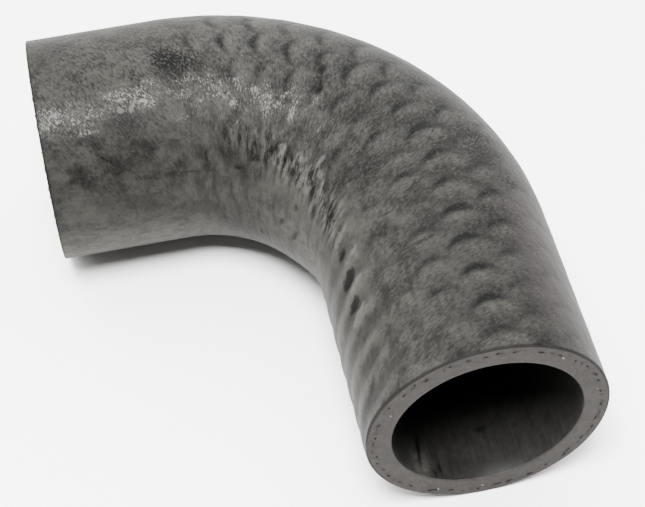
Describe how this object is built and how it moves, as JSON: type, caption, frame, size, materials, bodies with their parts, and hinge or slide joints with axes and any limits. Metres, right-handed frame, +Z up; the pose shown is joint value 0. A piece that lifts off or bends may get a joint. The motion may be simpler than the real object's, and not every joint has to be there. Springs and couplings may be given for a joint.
{
  "type": "bypass hose",
  "caption": "Moulded rubber coolant hose with a right-angle bend, one short and one longer straight leg, and both ends cut square.",
  "frame": {"origin": "middle of the underside of the hose's box, on the surface the hose lies on", "axes": "+Z up; the bend lies in a level plane; the short leg's end faces -X and the long leg's end faces -Y"},
  "size_m": [0.0924, 0.107, 0.045],
  "materials": {
    "aged_rubber": "satin black rubber greyed with age, with the scale pattern of its knitted reinforcement and chalky bloom"
  },
  "bodies": {
    "root": {"moulded_hose": "aged_rubber"}
  },
  "joints": []
}
